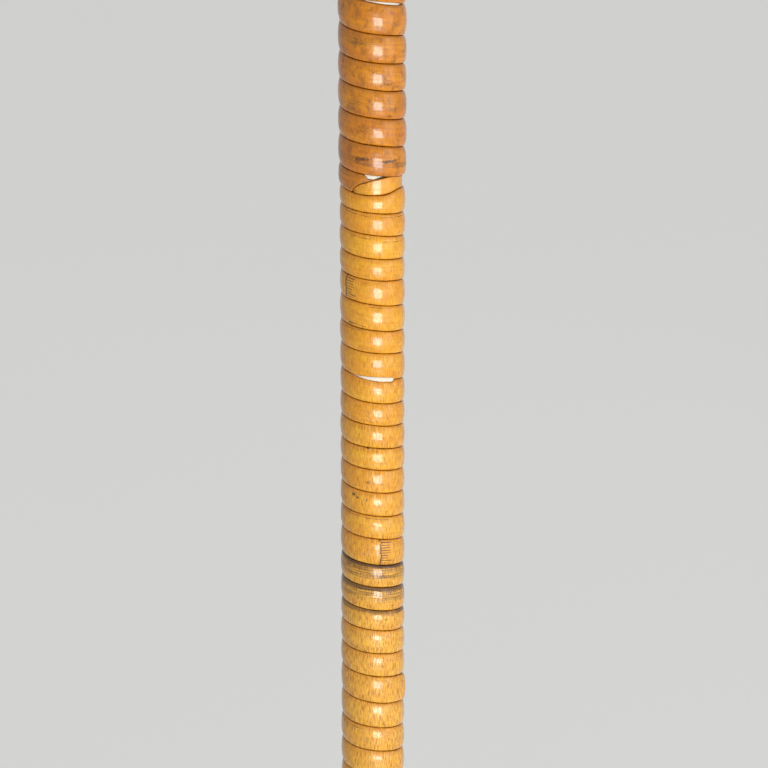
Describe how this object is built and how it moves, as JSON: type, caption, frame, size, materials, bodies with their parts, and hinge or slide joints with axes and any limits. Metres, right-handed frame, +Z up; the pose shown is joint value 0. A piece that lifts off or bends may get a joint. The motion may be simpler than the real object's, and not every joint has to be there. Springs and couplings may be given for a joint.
{
  "type": "candlestick floor lamp",
  "caption": "Slim floor lamp with a cane-wound stem on a round weighted foot, a drip dish and candle cup, a keyed bulb holder, a harp and an empire shade.",
  "frame": {"origin": "on the floor, under the middle of the round foot", "axes": "+Z up along the stem; the harp lies in the XZ plane; the switch key points to -Y and the cord enters from +Y"},
  "size_m": [0.4013, 0.4012, 1.4771],
  "materials": {
    "felt": "pressed green felt",
    "cast_iron": "cast, lightly painted",
    "aged_brass": "satin, lacquered, slightly aged",
    "rubber": "moulded",
    "zinc_steel": "zinc plated",
    "porcelain": "glazed",
    "plain_brass": "plain",
    "off_white_tube": "off-white paint",
    "varnished_cane": "split cane, glossy amber varnish",
    "brass_wire": "brass plated wire",
    "socket_brass": "bright lacquered",
    "fibre_liner": "pressed fibre",
    "phenolic": "moulded phenolic",
    "key_brass": "polished",
    "bulb_cap_metal": "rolled thread",
    "frosted_glass": "inside frosted",
    "clear_glass": "clear",
    "filament_wire": "drawn wire",
    "brown_insulation": "moulded insulation",
    "blue_insulation": "moulded insulation",
    "linen": "natural linen on a stiff backing",
    "linen_tape": "folded linen tape"
  },
  "bodies": {
    "stand": {"felt_ring": "felt", "base_weight": "cast_iron", "base_cover": "aged_brass", "cord_grommet": "rubber", "well_cover": "zinc_steel", "well_cover_screws": "zinc_steel", "base_washer": "zinc_steel", "base_nut": "zinc_steel", "lower_nipple": "zinc_steel", "terminal_block": "porcelain", "terminal_block_screws": "plain_brass", "stem_collar": "aged_brass", "lower_ferrule": "aged_brass", "lower_plug": "plain_brass", "stem_tube": "off_white_tube", "cane_1": "varnished_cane", "cane_2": "varnished_cane", "cane_3": "varnished_cane", "cane_4": "varnished_cane", "cane_5": "varnished_cane", "cane_6": "varnished_cane", "upper_plug": "plain_brass", "upper_ferrule": "aged_brass", "upper_collar": "aged_brass", "upper_nipple": "zinc_steel", "drip_dish": "aged_brass", "candle_cup": "aged_brass", "harp_saddle": "brass_wire", "harp_wire": "brass_wire", "socket_cap": "socket_brass", "socket_shell": "socket_brass", "socket_liner": "fibre_liner", "socket_insulator": "phenolic", "screw_shell": "plain_brass", "centre_contact": "plain_brass", "socket_terminals": "plain_brass", "terminal_screws": "plain_brass", "bulb_cap": "bulb_cap_metal", "bulb_glass": "frosted_glass", "bulb_mount": "clear_glass", "bulb_filament": "filament_wire", "live_lead": "brown_insulation", "neutral_lead": "blue_insulation", "finial": "aged_brass"},
    "shade": {"shade_cover": "linen", "shade_top_trim": "linen_tape", "shade_bottom_trim": "linen_tape", "shade_top_ring": "brass_wire", "shade_bottom_ring": "brass_wire", "shade_spider": "brass_wire"},
    "switch": {"switch_shaft": "phenolic", "switch_key": "key_brass"},
    "left_sleeve": {"harp_sleeve_left": "aged_brass"},
    "right_sleeve": {"harp_sleeve_right": "aged_brass"}
  },
  "joints": [
    {"name": "shade_turn", "type": "hinge", "parent": "stand", "child": "shade", "pos_m": [0, 0, 1.4415], "axis": [0, 0, 1], "continuous": true},
    {"name": "switch_turn", "type": "hinge", "parent": "stand", "child": "switch", "pos_m": [0, -0.03, 1.2325], "axis": [0, -1, 0], "continuous": true},
    {"name": "left_sleeve_slide", "type": "slide", "parent": "stand", "child": "left_sleeve", "axis": [0, 0, 1], "range_m": [0, 0.012]},
    {"name": "right_sleeve_slide", "type": "slide", "parent": "stand", "child": "right_sleeve", "axis": [0, 0, 1], "range_m": [0, 0.012]}
  ]
}
